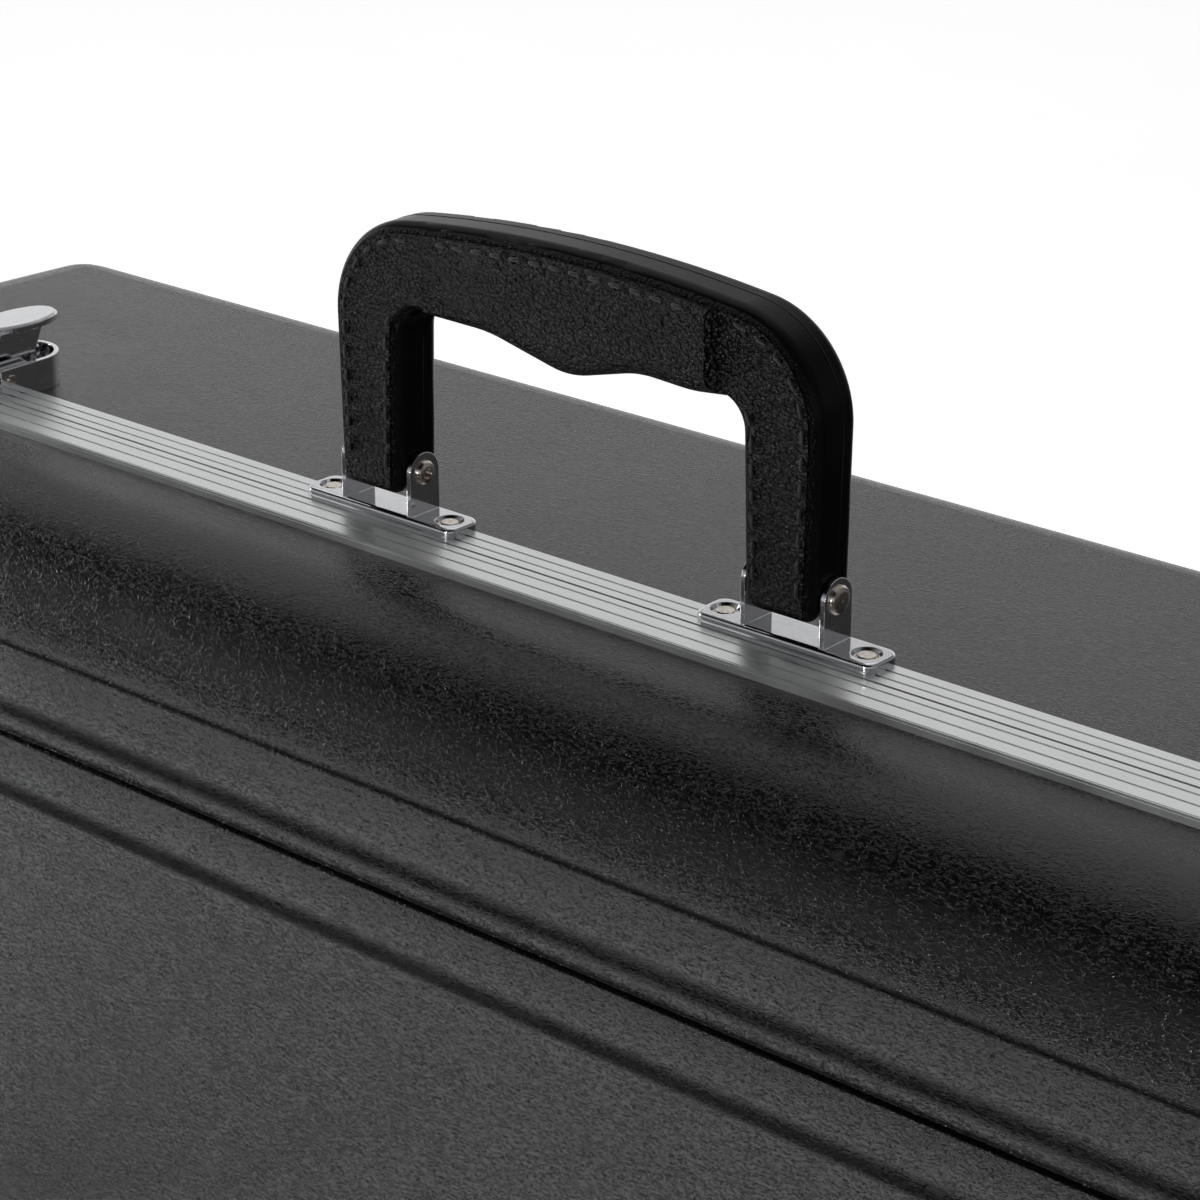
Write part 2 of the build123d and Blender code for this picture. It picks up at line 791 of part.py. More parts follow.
def neck_block():
    body = pad_block(-lining_half_length, neck_block_end, lining_front, -lining_half_height, neck_block_top)
    centre_x = (neck_block_end - lining_half_length) / 2
    centre_z = mid_height + (neck_block_top - lining_half_height) / 2
    hollow = SlotOverall(neck_pocket_length, neck_pocket_width, rotation=90)
    hollow = Rot(-90, 0, 0) * extrude(hollow, neck_pocket_depth + lining_front)
    return body - Pos(centre_x, 0, centre_z) * hollow


def accessory_box():
    low = neck_block_top + lining_gap
    body = pad_block(-lining_half_length, box_end, lining_front, low, lining_half_height)
    x0 = -lining_half_length + box_wall
    z0 = mid_height + low + box_wall
    z1 = mid_height + lining_half_height - box_wall
    hollow = block(x0, box_end - box_wall, 0, lining_back - box_floor, z0, z1)
    return body - fillet(hollow.edges().filter_by(Axis.Y), box_corner)


def bell_brace():
    high = lining_half_height - side_pad - lining_gap
    end = lining_half_length - side_pad - lining_gap
    body = pad_block(end - brace_length, end, brace_front, high - brace_height, high)
    scoop = Rot(90, 0, 0) * Cylinder(brace_scoop_radius, 2 * case_height)
    centre_z = mid_height + high - brace_height - brace_scoop_drop
    return body - Pos(end - brace_length + brace_scoop_offset, 0, centre_z) * scoop


def bell_saddle():
    low = mid_height + saddle_low
    body = block(saddle_start, saddle_end, saddle_front, lining_back, low, low + saddle_height)
    centre_z = low + saddle_height / 2
    return body - along_x(saddle_scoop_radius, saddle_start - 1, saddle_end + 1, saddle_scoop_front, centre_z)


def lid_pad():
    front = lid_panel - wall - lining_gap
    body = bevel_tub(pad_inset, lid_shell_start, front, lid_shoulder)
    keep = Box(case_length, case_height, lid_pad_thickness, align=UP)
    return on_lid(body & Pos(0, 0, front - lid_pad_thickness) * keep)


def both(make, *values):
    return Compound(children=[make(side, *values) for side in EACH_SIDE])


def build():
    base_raw = base_half()
    lid_raw = lid_half()
    base_side = on_base(base_raw)
    through = (shell_top - 2 * wall, band_top + 1, rivet_hole)
    nodes = {
        "base_shell": drill(base_side, bracket_rivet_places(), *through),
        "lid_shell": on_lid(lid_raw),
        "base_valance": drill(on_base(base_band(base_raw)), bracket_rivet_places(), *through),
        "lid_valance": on_lid(lid_band(lid_raw)),
        "hinge_base_leaves": both(hinge_leaf_plate, False),
        "hinge_lid_leaves": both(hinge_leaf_plate, True),
        "hinge_pins": both(hinge_pin),
        "feet": Compound(children=[foot(x, y, base_side) for x, y in foot_places()]),
        "bracket_rivets": Compound(children=[bracket_rivet(x, y) for x, y in bracket_rivet_places()]),
        "handle_body": handle_body(),
        "handle_inserts": handle_inserts(),
        "handle_grip": handle_grip(),
        "floor_pad": floor_pad(),
        "hinge_side_pad": hinge_side_pad(),
        "handle_side_pad": handle_side_pad(),
        "bow_end_pad": bow_end_pad(),
        "neck_block": neck_block(),
        "accessory_box": accessory_box(),
        "bell_brace": bell_brace(),
        "bell_saddle": bell_saddle(),
        "lid_pad": lid_pad(),
    }
    for side, name in ((-1, "left"), (1, "right")):
        nodes["handle_bracket_" + name] = bracket(side)
        nodes["handle_pin_" + name] = handle_pin(side)
        nodes["latch_base_" + name] = latch_base(side, base_side)
        nodes["latch_lever_" + name] = latch_lever(side)
        nodes["latch_loop_" + name] = latch_loop(side)
        nodes["latch_pivot_pin_" + name] = pivot_pin(side)
        nodes["latch_link_pin_" + name] = link_pin(side)
        nodes["latch_catch_" + name] = catch(side)
    return nodes


os.makedirs("parts", exist_ok=True)
for node, shape in build().items():
    export_step(Pos(0, parting_y, 0) * shape, "parts/" + node + ".step")
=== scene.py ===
import json
import math

import bmesh
import bpy
import numpy as np
from mathutils import Matrix, Vector
from mathutils.bvhtree import BVHTree

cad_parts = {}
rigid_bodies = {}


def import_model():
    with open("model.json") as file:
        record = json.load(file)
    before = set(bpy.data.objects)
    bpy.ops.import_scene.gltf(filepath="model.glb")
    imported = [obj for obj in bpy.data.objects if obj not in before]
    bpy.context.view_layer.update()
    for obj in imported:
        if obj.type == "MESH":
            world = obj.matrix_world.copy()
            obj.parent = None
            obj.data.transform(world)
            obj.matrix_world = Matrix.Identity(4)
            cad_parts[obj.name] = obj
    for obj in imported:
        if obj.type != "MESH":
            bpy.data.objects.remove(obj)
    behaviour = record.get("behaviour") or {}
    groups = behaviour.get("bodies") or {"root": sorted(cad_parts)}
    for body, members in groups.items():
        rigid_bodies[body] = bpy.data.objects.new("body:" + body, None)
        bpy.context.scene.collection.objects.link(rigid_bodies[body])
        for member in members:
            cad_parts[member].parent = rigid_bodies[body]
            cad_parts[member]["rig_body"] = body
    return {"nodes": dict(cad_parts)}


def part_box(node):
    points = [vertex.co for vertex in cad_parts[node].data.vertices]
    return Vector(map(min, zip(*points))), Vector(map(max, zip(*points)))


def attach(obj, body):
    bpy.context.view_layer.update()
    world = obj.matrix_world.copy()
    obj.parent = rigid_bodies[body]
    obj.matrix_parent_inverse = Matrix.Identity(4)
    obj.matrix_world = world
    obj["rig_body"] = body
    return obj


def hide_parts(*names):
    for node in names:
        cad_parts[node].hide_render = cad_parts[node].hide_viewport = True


MM = 0.001
HANDLE_MIDDLE = -27.75

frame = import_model()
nodes = frame["nodes"]
bpy.context.view_layer.update()


# ---- shader helpers ----

def new_material(name, **values):
    """A Principled material; values are its sockets, with underscores for spaces."""
    made = bpy.data.materials.new(name)
    made.use_nodes = True
    shader = made.node_tree.nodes["Principled BSDF"]
    for key, value in values.items():
        shader.inputs[key.replace("_", " ")].default_value = value
    return made, Graph(made.node_tree), shader


class Graph:
    """Short calls that add linked nodes to one node tree."""

    def __init__(self, tree):
        self.tree = tree

    def node(self, kind, **settings):
        made = self.tree.nodes.new(kind)
        for key, value in settings.items():
            setattr(made, key, value)
        return made

    def link(self, source, target):
        self.tree.links.new(source, target)

    def fill(self, socket, value):
        if isinstance(value, bpy.types.NodeSocket):
            self.link(value, socket)
        else:
            socket.default_value = value

    def millimetres(self, stretch=(1, 1, 1)):
        """Position on the piece in millimetres, stretched per axis."""
        place = self.node("ShaderNodeTexCoord")
        scaled = self.node("ShaderNodeMapping")
        scaled.inputs["Scale"].default_value = [1000 * s for s in stretch]
        self.link(place.outputs["Object"], scaled.inputs["Vector"])
        return scaled.outputs["Vector"]

    def noise(self, vector, scale, detail=2.0, rough=0.5, distort=0.0):
        made = self.node("ShaderNodeTexNoise")
        self.link(vector, made.inputs["Vector"])
        made.inputs["Scale"].default_value = scale
        made.inputs["Detail"].default_value = detail
        made.inputs["Roughness"].default_value = rough
        made.inputs["Distortion"].default_value = distort
        return made.outputs["Fac"]

    def cells(self, vector, scale):
        """Distance to the middle of the nearest cell."""
        made = self.node("ShaderNodeTexVoronoi", feature="F1")
        self.link(vector, made.inputs["Vector"])
        made.inputs["Scale"].default_value = scale
        return made.outputs["Distance"]

    def math(self, kind, first, second=0.0):
        made = self.node("ShaderNodeMath", operation=kind)
        for socket, value in zip(made.inputs, (first, second)):
            self.fill(socket, value)
        return made.outputs[0]

    def remap(self, value, low, high, to_low, to_high, smooth=False):
        made = self.node("ShaderNodeMapRange")
        made.interpolation_type = "SMOOTHSTEP" if smooth else "LINEAR"
        for name, given in (("Value", value), ("From Min", low), ("From Max", high),
                            ("To Min", to_low), ("To Max", to_high)):
            self.fill(made.inputs[name], given)
        return made.outputs["Result"]

    def colours(self, value, *stops):
        made = self.node("ShaderNodeValToRGB")
        ramp = made.color_ramp
        while len(ramp.elements) < len(stops):
            ramp.elements.new(0.5)
        for element, (place, colour) in zip(ramp.elements, stops):
            element.position = place
            element.color = (*colour, 1)
        self.link(value, made.inputs["Fac"])
        return made.outputs["Color"]

    def bump(self, height, depth, strength=1.0, after=None):
        """Bump of that depth in millimetres."""
        made = self.node("ShaderNodeBump")
        made.inputs["Strength"].default_value = strength
        made.inputs["Distance"].default_value = depth * MM
        self.link(height, made.inputs["Height"])
        if after is not None:
            self.link(after, made.inputs["Normal"])
        return made.outputs["Normal"]

    def soft_edges(self, radius):
        """Shading normal with edges rounded off by that radius in millimetres."""
        made = self.node("ShaderNodeBevel", samples=6)
        made.inputs["Radius"].default_value = radius * MM
        return made.outputs["Normal"]


def grey(level, tint=(1.0, 1.0, 1.0)):
    return tuple(level * t for t in tint)


# ---- materials ----

def moulded_shell():
    """Black ABS sheet with a fine wrinkled leather grain, a little polished where it is handled."""
    made, g, shader = new_material("shell_abs", Specular_IOR_Level=0.5)
    wrinkle = g.noise(g.millimetres((0.5, 1.0, 1.0)), 1.3, detail=1.5, rough=0.5, distort=1.0)
    ridges = g.math("ABSOLUTE", g.math("SUBTRACT", wrinkle, 0.5))
    ridges = g.remap(ridges, 0.0, 0.26, 0.0, 1.0, smooth=True)
    cloud = g.noise(g.millimetres(), 0.02, detail=3.0, rough=0.6)
    g.link(g.bump(ridges, 0.085), shader.inputs["Normal"])
    g.link(g.remap(cloud, 0.3, 0.7, 0.19, 0.24), shader.inputs["Roughness"])
    g.link(g.colours(cloud, (0.3, grey(0.0022)), (0.7, grey(0.0032, (1.0, 1.0, 1.03)))),
           shader.inputs["Base Color"])
    return made


def valance():
    """Extruded aluminium with drawing lines along the section, dull patches and small knocks."""
    made, g, shader = new_material("valance_aluminium", Metallic=1.0)
    drawn = g.noise(g.millimetres((0.012, 5.0, 0.012)), 1.0, detail=2.0, rough=0.7)
    place = g.millimetres()
    cloud = g.noise(place, 0.03, detail=4.0, rough=0.65)
    knocks = g.noise(g.millimetres((0.25, 1.0, 0.25)), 0.55, detail=3.0, rough=0.8)
    nick = g.remap(knocks, 0.68, 0.75, 0.0, 1.0)
    tone = g.math("ADD", g.math("MULTIPLY", cloud, 0.5), g.math("MULTIPLY", drawn, 0.5))
    g.link(g.colours(tone, (0.3, (0.78, 0.79, 0.79)), (0.7, (0.92, 0.935, 0.93))),
           shader.inputs["Base Color"])
    rough = g.math("ADD", g.remap(cloud, 0.3, 0.7, 0.30, 0.40), g.math("MULTIPLY", nick, 0.15))
    g.link(rough, shader.inputs["Roughness"])
    height = g.math("ADD", g.math("MULTIPLY", drawn, 0.3), nick)
    g.link(g.bump(height, 0.03, strength=0.7), shader.inputs["Normal"])
    return made


def hardware():
    """Bright nickel-chrome on pressed steel: mirror bright, with faint pits and handling haze."""
    made, g, shader = new_material("chrome", Metallic=1.0)
    place = g.millimetres()
    haze = g.noise(place, 0.25, detail=4.0, rough=0.7)
    pits = g.remap(g.noise(place, 2.6, detail=1.0), 0.72, 0.78, 0.0, 1.0)
    g.link(g.colours(haze, (0.3, (0.74, 0.75, 0.78)), (0.7, (0.86, 0.86, 0.88))),
           shader.inputs["Base Color"])
    rough = g.math("ADD", g.remap(haze, 0.3, 0.7, 0.05, 0.11), g.math("MULTIPLY", pits, 0.2))
    g.link(rough, shader.inputs["Roughness"])
    height = g.math("ADD", g.math("MULTIPLY", haze, 1.5), pits)
    g.link(g.bump(height, 0.02, strength=0.5, after=g.soft_edges(0.35)), shader.inputs["Normal"])
    return made


def rivet_metal():
    """Nickel-plated rivets, a little warm where the plating has thinned."""
    made, g, shader = new_material("rivet_nickel", Metallic=1.0)
    place = g.millimetres()
    worn = g.noise(place, 0.6, detail=5.0, rough=0.7)
    scratch = g.noise(g.millimetres((0.4, 3.0, 1.0)), 1.2, detail=3.0, rough=0.8)
    g.link(g.colours(worn, (0.36, (0.86, 0.84, 0.81)), (0.60, (0.66, 0.55, 0.45))),
           shader.inputs["Base Color"])
    g.link(g.remap(worn, 0.3, 0.7, 0.12, 0.26), shader.inputs["Roughness"])
    normal = g.bump(scratch, 0.02, strength=0.5, after=g.soft_edges(0.3))
    g.link(normal, shader.inputs["Normal"])
    return made


def foot_rubber():
    """Dark rubber, dusty in patches."""
    made, g, shader = new_material("foot_rubber", Specular_IOR_Level=0.4)
    place = g.millimetres()
    dust = g.noise(place, 0.2, detail=6.0, rough=0.7)
    skin = g.noise(place, 2.5, detail=3.0)
    g.link(g.colours(dust, (0.4, grey(0.016)), (0.75, grey(0.045, (1.0, 0.98, 0.95)))),
           shader.inputs["Base Color"])
    g.link(g.remap(dust, 0.3, 0.7, 0.55, 0.75), shader.inputs["Roughness"])
    g.link(g.bump(skin, 0.05, after=g.soft_edges(0.4)), shader.inputs["Normal"])
    return made


def pebbles(g):
    """Height of the handle's leather grain: rounded pebbles about a millimetre across."""
    place = g.millimetres()
    wobble = g.node("ShaderNodeTexNoise")
    g.link(place, wobble.inputs["Vector"])
    wobble.inputs["Scale"].default_value = 0.6
    wobble.inputs["Detail"].default_value = 1.0
    bent = g.node("ShaderNodeVectorMath", operation="ADD")
    g.link(place, bent.inputs[0])
    g.link(wobble.outputs["Color"], bent.inputs[1])
    reach = g.cells(bent.outputs[0], 1.0)
    dome = g.math("SUBTRACT", 1.0, g.math("MULTIPLY", g.math("MULTIPLY", reach, reach), 1.7))
    return g.math("ADD", dome, g.math("MULTIPLY", g.noise(place, 2.4, detail=1.0), 0.5))


def handle_plastic():
    """Smooth black moulding, semi-gloss; the flat of its two faces has the leather grain."""
    grain_start, grain_full = 6.3, 6.85
    made, g, shader = new_material("handle_plastic", IOR=1.2)
    place = g.millimetres()
    flow = g.noise(place, 0.08, detail=3.0, rough=0.6)
    split = g.node("ShaderNodeSeparateXYZ")
    g.link(place, split.inputs[0])
    off_middle = g.math("ABSOLUTE", g.math("SUBTRACT", split.outputs["Y"], HANDLE_MIDDLE))
    on_face = g.remap(off_middle, grain_start, grain_full, 0.0, 1.0, smooth=True)
    g.link(g.colours(flow, (0.3, grey(0.0024)), (0.7, grey(0.0036))), shader.inputs["Base Color"])
    rough = g.math("ADD", g.remap(flow, 0.3, 0.7, 0.24, 0.30), g.math("MULTIPLY", on_face, 0.04))
    g.link(rough, shader.inputs["Roughness"])
    g.link(g.bump(g.math("MULTIPLY", pebbles(g), on_face), 0.5), shader.inputs["Normal"])
    return made


def grained_vinyl():
    """Black grained covering of the handle: rounded pebbles with deep valleys between them."""
    made, g, shader = new_material("grained_vinyl", Specular_IOR_Level=0.26)
    cloud = g.noise(g.millimetres(), 0.07, detail=3.0, rough=0.6)
    g.link(g.colours(cloud, (0.3, grey(0.0018)), (0.7, grey(0.0032))), shader.inputs["Base Color"])
    g.link(g.remap(cloud, 0.3, 0.7, 0.19, 0.26), shader.inputs["Roughness"])
    g.link(g.bump(pebbles(g), 0.55), shader.inputs["Normal"])
    return made


def plush_lining():
    """Charcoal plush: soft pile with sheen, brushed lighter and darker in places."""
    made, g, shader = new_material("plush", Specular_IOR_Level=0.15, Roughness=0.95,
                                   Sheen_Weight=0.55, Sheen_Roughness=0.45)
    shader.inputs["Sheen Tint"].default_value = (0.55, 0.56, 0.60, 1)
    place = g.millimetres()
    brushed = g.noise(place, 0.025, detail=3.0, rough=0.55, distort=0.6)
    pile = g.noise(place, 2.2, detail=4.0, rough=0.7)
    tuft = g.cells(place, 1.4)
    tone = g.math("ADD", g.math("MULTIPLY", brushed, 0.6), g.math("MULTIPLY", pile, 0.4))
    g.link(g.colours(tone, (0.35, (0.018, 0.018, 0.020)), (0.65, (0.042, 0.042, 0.046))),
           shader.inputs["Base Color"])
    height = g.math("ADD", pile, g.math("MULTIPLY", tuft, 0.5))
    g.link(g.bump(height, 0.25, strength=0.7), shader.inputs["Normal"])
    return made


def thread():
    """Black waxed thread, twisted."""
    made, g, shader = new_material("stitch_thread", Specular_IOR_Level=0.4, Roughness=0.5, Sheen_Weight=0.2)
    twist = g.noise(g.millimetres(), 3.5, detail=2.0)
    g.link(g.colours(twist, (0.3, grey(0.006)), (0.7, grey(0.016))), shader.inputs["Base Color"])
    g.link(g.bump(twist, 0.08), shader.inputs["Normal"])
    return made


FINISHES = (moulded_shell, valance, hardware, rivet_metal, foot_rubber, handle_plastic, grained_vinyl,
            plush_lining, thread)
FINISH = {make.__name__: make() for make in FINISHES}

for node in nodes.values():
    for material_slot in node.material_slots:
        material_slot.material = FINISH[material_slot.material.name]


# ---- pieces ----

def from_mesh(name, mesh, body, finish):
    """A piece made of that mesh, riding on its body."""
    piece = bpy.data.objects.new(name, mesh)
    bpy.context.scene.collection.objects.link(piece)
    mesh.materials.clear()
    mesh.materials.append(FINISH[finish])
    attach(piece, body)
    return piece


def finished(name, mesh, body, finish):
    """A piece from a bmesh, smooth shaded, riding on its body."""
    bmesh.ops.recalc_face_normals(mesh, faces=mesh.faces[:])
    data = bpy.data.meshes.new(name)
    mesh.to_mesh(data)
    mesh.free()
    data.shade_smooth()
    piece = from_mesh(name, data, body, finish)
    return piece


def skin(mesh, loops):
    """Faces between each loop of vertices and the next, and a cap on the first and the last."""
    for a, b in zip(loops, loops[1:]):
        for k in range(len(a)):
            mesh.faces.new((a[k], a[(k + 1) % len(a)], b[(k + 1) % len(a)], b[k]))
    mesh.faces.new(list(reversed(loops[0])))
    mesh.faces.new(loops[-1])


def apply_modifiers(piece):
    graph = bpy.context.evaluated_depsgraph_get()
    mesh = bpy.data.meshes.new_from_object(piece.evaluated_get(graph))
    piece.modifiers.clear()
    piece.data = mesh


# ---- padded interior ----

PADS = ("floor_pad", "hinge_side_pad", "handle_side_pad", "bow_end_pad", "neck_block", "accessory_box",
        "bell_brace", "bell_saddle", "lid_pad")
PLUSH_VOXEL, PLUSH_CROWN = 4.0, 0.8


def plush_piece(node_name, seed):
    """The plush block in place of a CAD cushion: foam-soft edges and a slightly uneven, crowned surface."""
    node = nodes[node_name]
    piece = from_mesh("plush_" + node_name, node.data.copy(), node["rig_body"], "plush_lining")
    low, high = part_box(node_name)
    thin = min(high - low)
    remesh = piece.modifiers.new("remesh", "REMESH")
    remesh.mode = "VOXEL"
    remesh.voxel_size = min(PLUSH_VOXEL, thin / MM / 4) * MM
    apply_modifiers(piece)
    smooth = piece.modifiers.new("smooth", "SMOOTH")
    smooth.factor = 0.5
    smooth.iterations = 5
    apply_modifiers(piece)
    mesh = piece.data
    count = len(mesh.vertices)
    co = np.empty(count * 3, np.float32)
    normal = np.empty(count * 3, np.float32)
    mesh.vertices.foreach_get("co", co)
    mesh.vertices.foreach_get("normal", normal)
    co, normal = co.reshape(-1, 3), normal.reshape(-1, 3)
    x, y, z = co.T
    wave = (np.sin(x * 61 + seed) + np.sin(y * 83 + 1.7 * seed) + np.sin(z * 71 + 2.3 * seed)) / 3
    wave += 0.5 * np.sin(x * 151 + z * 127 + seed)
    co += normal * (PLUSH_CROWN * (0.15 + 0.35 * wave) * MM)[:, None]
    mesh.vertices.foreach_set("co", co.ravel())
    mesh.shade_smooth()
    mesh.update()
    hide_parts(node_name)


for number, pad in enumerate(PADS):
    plush_piece(pad, seed=number)


# ---- lid: the moulded shell with its soft coves and ribs ----

CASE_LENGTH, CASE_HEIGHT, CASE_CORNER, CASE_MIDDLE = 620.0, 290.0, 30.0, 155.0
PARTING, DRAFT = -34.25, math.tan(math.radians(1.5))
SHOULDER, RIM_START, WALL, INNER_DEPTH = 28.0, 4.6, 3.0, 44.5
# Depths of the outer and inner rib's faces, and the insets where they and the panel's mesh end
LID_FACE, RIB_FACE = 53.5, 51.5
LID_FACE_END, RIB_FACE_END, PROFILE_END = 44.8, 70.2, 110.0
SIDE_DEPTH, CREST_START, CREST_INSET, CREST_RISE, CREST_STEPS = 14.0, 23.0, 33.4, 29.7, 36
# Slope of both coves in degrees, and their radii: over the edge of a rib, then out to the next face
COVE_SLOPE, OUTER_EDGE, OUTER_FOOT, INNER_EDGE, INNER_FOOT = 32, 15.0, 10.8, 12.0, 7.0
OUTER_FOOT_RISE = -8
CORNER_STEPS = 18
CORNER_BY_INSET = ((0.0, 30.0), (12.0, 22.0), (34.0, 29.0), (45.0, 27.0), (61.0, 19.0), (71.0, 18.0),
                   (82.0, 12.0), (110.0, 6.0))


def curve(start, first, last, radius, steps):
    """Profile points on an arc whose slope down from the face goes from first to last, in degrees."""
    inset, depth = start
    sign = 1.0 if last > first else -1.0
    a = math.radians(first)
    middle = (inset - sign * radius * math.sin(a), depth - sign * radius * math.cos(a))
    points = []
    for i in range(1, steps + 1):
        a = math.radians(first + (last - first) * i / steps)
        points.append((middle[0] + sign * radius * math.sin(a), middle[1] + sign * radius * math.cos(a)))
    return points


def lid_profile():
    """Inset from the case outline and depth from the parting plane, from the rim to the panel."""
    line = [(RIM_START * DRAFT, RIM_START), (SIDE_DEPTH * DRAFT, SIDE_DEPTH)]
    crest_width = CREST_INSET - CREST_START * DRAFT
    for i in range(CREST_STEPS + 1):
        a = math.pi / 2 * i / CREST_STEPS
        line.append((CREST_INSET - crest_width * math.cos(a), CREST_START + CREST_RISE * math.sin(a)))
    # the small step up to the outer rib, its face, and the cove beyond it
    line += [(33.5, 52.74), (33.62, 53.3), (33.85, 53.47), (34.2, LID_FACE)]
    line += [(LID_FACE_END, LID_FACE)]
    line += curve(line[-1], 0, COVE_SLOPE, OUTER_EDGE, 10)
    line += curve(line[-1], COVE_SLOPE, OUTER_FOOT_RISE, OUTER_FOOT, 12)
    # the small step up to the inner rib, its face, and the slope down to the panel
    rise = line[-1][0]
    line += [(rise + 0.08, 49.76), (rise + 0.2, 51.1), (rise + 0.45, 51.42), (rise + 0.9, RIB_FACE)]
    line += [(RIB_FACE_END, RIB_FACE)]
    line += curve(line[-1], 0, COVE_SLOPE, INNER_EDGE, 10)
    line += [(line[-1][0] + 1.5, line[-1][1] - 0.94)]
    line += curve(line[-1], COVE_SLOPE, 0, INNER_FOOT, 8)
    return line + [(PROFILE_END, line[-1][1])]


def corner_radius(inset):
    """Radius of the lid's corners on the ring at that inset."""
    insets, radii = zip(*CORNER_BY_INSET)
    return float(np.interp(inset, insets, radii))


def lid_ring(mesh, inset, depth, radius):
    """One closed rounded rectangle of vertices on the lid."""
    ring = []
    for quarter, (sx, sz) in enumerate(((1, 1), (-1, 1), (-1, -1), (1, -1))):
        cx = sx * (CASE_LENGTH / 2 - inset - radius)
        cz = CASE_MIDDLE + sz * (CASE_HEIGHT / 2 - inset - radius)
        for k in range(CORNER_STEPS + 1):
            turn = math.pi / 2 * (quarter + k / CORNER_STEPS)
            spot = (cx + radius * math.cos(turn), PARTING - depth, cz + radius * math.sin(turn))
            ring.append(mesh.verts.new(Vector(spot) * MM))
    return ring


def lid_moulding():
    """The lid's shell: the outside from rim to panel, the plain inside, and the rim between them."""
    mesh = bmesh.new()
    outside = [lid_ring(mesh, inset, depth, corner_radius(inset)) for inset, depth in lid_profile()]
    bevel = (2 - math.sqrt(2)) * (SHOULDER - WALL)
    wall_end = WALL + (INNER_DEPTH - bevel) * DRAFT
    plain = ((wall_end + bevel, INNER_DEPTH), (wall_end, INNER_DEPTH - bevel),
             (WALL + RIM_START * DRAFT, RIM_START))
    inside = [lid_ring(mesh, inset, depth, CASE_CORNER - inset) for inset, depth in plain]
    skin(mesh, inside + outside)
    piece = finished("lid_moulding", mesh, "lid", "moulded_shell")
    piece.data.set_sharp_from_angle(angle=math.radians(40))
    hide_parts("lid_shell")


# ---- handle: stitching and moulding line ----

PLATE_TOP = 303.7
LEG_FOOT, LEG_SHOULDER = Vector((-69.5, 5.0)), Vector((-70.6, 68.0))
CROWN_RADIUS, CROWN_TOP, CORNER = 386.66, 74.5, 24.6
OPENING_LOW, OPENING_HIGH, OPENING_CORNER = Vector((-50.8, 5.0)), Vector((-49.4, 51.0)), 7.0
GRIP_ENDS = (-41.0, 45.0)
PATH_STEP = 1.5
STITCH_PITCH, STITCH_LENGTH, STITCH_RADIUS = 5.7, 3.8, 0.48
STITCH_RINGS, ROUND_SIDES = 8, 6
# Distance of the stitched rows from the handle's edges, and their lowest heights
OUTER_ROW, INNER_ROW, OUTER_ROW_FOOT, INNER_ROW_FOOT = 4.0, 3.4, 8.5, 9.0
LINE_SIDE, LINE_RADIUS, LINE_PROUD, LINE_FOOT, LINE_TOP = 1.5, 0.3, 0.12, 9.0, 43.0


def arc(centre, radius, start, end):
    """Points on an arc between two directions, the short way round."""
    first, last = math.atan2(start.y, start.x), math.atan2(end.y, end.x)
    while last - first > math.pi:
        last -= 2 * math.pi
    while first - last > math.pi:
        last += 2 * math.pi
    count = max(2, int(abs(last - first) * radius / PATH_STEP))
    turns = [first + (last - first) * i / count for i in range(count + 1)]
    return [centre + radius * Vector((math.cos(t), math.sin(t))) for t in turns]


def mirrored(half):
    """The half path and its mirror image, as one path from left to right."""
    return half + [Vector((-point.x, point.y)) for point in reversed(half[:-1])]


def handle_outline(inset):
    """The handle's outline moved inwards, from the left leg's foot over the top to the right leg's foot."""
    along = (LEG_SHOULDER - LEG_FOOT).normalized()
    inward = Vector((along.y, -along.x))
    crown = Vector((0, CROWN_TOP - CROWN_RADIUS))
    start = LEG_FOOT + CORNER * inward - crown
    ahead = start.dot(along)
    slide = -ahead + math.sqrt(ahead ** 2 - start.length_squared + (CROWN_RADIUS - CORNER) ** 2)
    centre = crown + start + slide * along
    foot = LEG_FOOT + inset * inward
    straight = (centre - inward * (CORNER - inset)) - foot
    count = int(straight.length / PATH_STEP)
    half = [foot + straight * i / count for i in range(count)]
    half += arc(centre, CORNER - inset, -inward, centre - crown)
    half += arc(crown, CROWN_RADIUS - inset, centre - crown, Vector((0, 1)))[1:]
    return mirrored(half)


def opening_leg(outset):
    """The left leg's inner edge moved outwards, from its foot to the rounded corner under the grip."""
    along = (OPENING_HIGH - OPENING_LOW).normalized()
    outward = Vector((-along.y, along.x))
    foot = OPENING_LOW + outset * outward
    length = (OPENING_HIGH - OPENING_LOW).length - OPENING_CORNER
    count = int(length / PATH_STEP)
    path = [foot + along * length * i / count for i in range(count + 1)]
    centre = path[-1] - outward * (OPENING_CORNER + outset)
    return path + arc(centre, OPENING_CORNER + outset, outward, outward + along)[1:]


def spaced(path, pitch):
    """Centres and directions at an even pitch along a path."""
    lengths = np.cumsum([0.0] + [(b - a).length for a, b in zip(path, path[1:])])
    xs, zs = [p.x for p in path], [p.y for p in path]
    count = int(lengths[-1] / pitch)
    margin = (lengths[-1] - (count - 1) * pitch) / 2
    found = []
    for i in range(count):
        at = margin + i * pitch
        here = Vector((np.interp(at, lengths, xs), np.interp(at, lengths, zs)))
        ahead = Vector((np.interp(at + 0.5, lengths, xs), np.interp(at + 0.5, lengths, zs)))
        behind = Vector((np.interp(at - 0.5, lengths, xs), np.interp(at - 0.5, lengths, zs)))
        found.append((here, (ahead - behind).normalized()))
    return found


def on_handle(point, y):
    """The place in the frame of a point of the handle's face, that far in front of or behind its middle."""
    return Vector((point.x, HANDLE_MIDDLE + y, PLATE_TOP + point.y)) * MM


